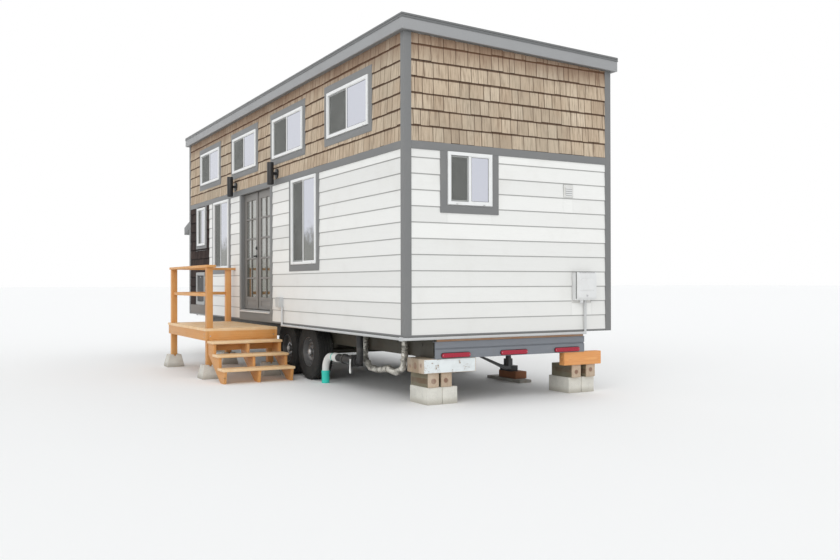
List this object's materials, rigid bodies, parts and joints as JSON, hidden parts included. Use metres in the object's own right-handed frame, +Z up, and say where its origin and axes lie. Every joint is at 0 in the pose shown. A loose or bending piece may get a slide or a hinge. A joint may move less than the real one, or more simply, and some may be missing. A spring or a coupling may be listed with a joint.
{
  "type": "tiny house on wheels",
  "caption": "Tiny house on a two-axle trailer: lap and shingle siding, low shed roof, French doors and a timber porch with steps.",
  "frame": {"origin": "middle of the whole part's box, on the ground", "axes": "+X along the house towards the trailer's rear end, -Y towards the porch side, +Z up"},
  "size_m": [10.733, 4.1516, 4.285],
  "materials": {
    "steel_frame": "satin",
    "beam_paint": "satin",
    "tyre_rubber": "matte",
    "rim_steel": "satin",
    "framing_timber": "raw",
    "white_siding": "painted",
    "grey_trim": "painted",
    "light_trim": "painted",
    "roofing": "mineral felt",
    "window_vinyl": "satin",
    "window_glass": "clear",
    "sill_alloy": "anodised",
    "black_metal": "satin",
    "grey_plastic": "matte",
    "white_plastic": "matte",
    "lamp_red": "gloss",
    "concrete": "cast",
    "porch_timber": "oiled"
  },
  "bodies": {
    "root": {"rail_front": "steel_frame", "rail_back": "steel_frame", "crossmembers": "steel_frame", "rear_beam": "beam_paint", "tongue_rails": "steel_frame", "coupler": "steel_frame", "tongue_jack": "steel_frame", "axles": "steel_frame", "leaf_springs": "steel_frame", "floor_frame": "framing_timber", "floor_deck": "framing_timber", "front_wall_left": "white_siding", "front_wall_right": "white_siding", "front_wall_at_door": "white_siding", "back_wall": "white_siding", "rear_end_wall": "white_siding", "tongue_end_wall": "white_siding", "roof_deck": "framing_timber", "roof_covering": "roofing", "fascia": "light_trim", "corner_boards": "grey_trim", "wall_bands": "grey_trim", "window_trim": "grey_trim", "window_frames": "window_vinyl", "window_glass": "window_glass", "door_jambs": "grey_trim", "door_casing": "grey_trim", "door_sill": "sill_alloy", "sconces": "black_metal", "utility_hatch": "grey_plastic", "power_box": "grey_plastic", "vent": "white_plastic", "marker_lights": "lamp_red", "conduit": "white_plastic", "floor_pipes": "white_plastic", "crib_blocks": "concrete", "crib_timbers": "porch_timber", "support_jack": "steel_frame", "porch_frame": "porch_timber", "porch_posts": "porch_timber", "porch_decking": "porch_timber", "porch_rails": "porch_timber", "porch_piers": "concrete", "stair_stringers": "porch_timber", "stair_treads": "porch_timber", "closet": "white_siding", "closet_roof": "roofing"},
    "door_left": {"door_leaf_left": "grey_trim", "door_glass_left": "window_glass", "door_lever": "black_metal"},
    "door_right": {"door_leaf_right": "grey_trim", "door_glass_right": "window_glass"},
    "wheel_front_a": {"tyre_front_a": "tyre_rubber", "rim_front_a": "rim_steel"},
    "wheel_front_b": {"tyre_front_b": "tyre_rubber", "rim_front_b": "rim_steel"},
    "wheel_back_a": {"tyre_back_a": "tyre_rubber", "rim_back_a": "rim_steel"},
    "wheel_back_b": {"tyre_back_b": "tyre_rubber", "rim_back_b": "rim_steel"}
  },
  "joints": [
    {"name": "door_left_hinge", "type": "hinge", "parent": "root", "child": "door_left", "pos_m": [-0.444, -0.82025, 1.887], "axis": [0, 0, 1], "range_deg": [0, 90]},
    {"name": "door_right_hinge", "type": "hinge", "parent": "root", "child": "door_right", "pos_m": [0.961, -0.82025, 1.887], "axis": [0, 0, -1], "range_deg": [0, 90]},
    {"name": "wheel_front_a_spin", "type": "hinge", "parent": "root", "child": "wheel_front_a", "pos_m": [1.2335, -0.64625, 0.39], "axis": [0, 1, 0], "continuous": true},
    {"name": "wheel_front_b_spin", "type": "hinge", "parent": "root", "child": "wheel_front_b", "pos_m": [2.0735, -0.64625, 0.39], "axis": [0, 1, 0], "continuous": true},
    {"name": "wheel_back_a_spin", "type": "hinge", "parent": "root", "child": "wheel_back_a", "pos_m": [1.2335, 1.72475, 0.39], "axis": [0, 1, 0], "continuous": true},
    {"name": "wheel_back_b_spin", "type": "hinge", "parent": "root", "child": "wheel_back_b", "pos_m": [2.0735, 1.72475, 0.39], "axis": [0, 1, 0], "continuous": true}
  ]
}
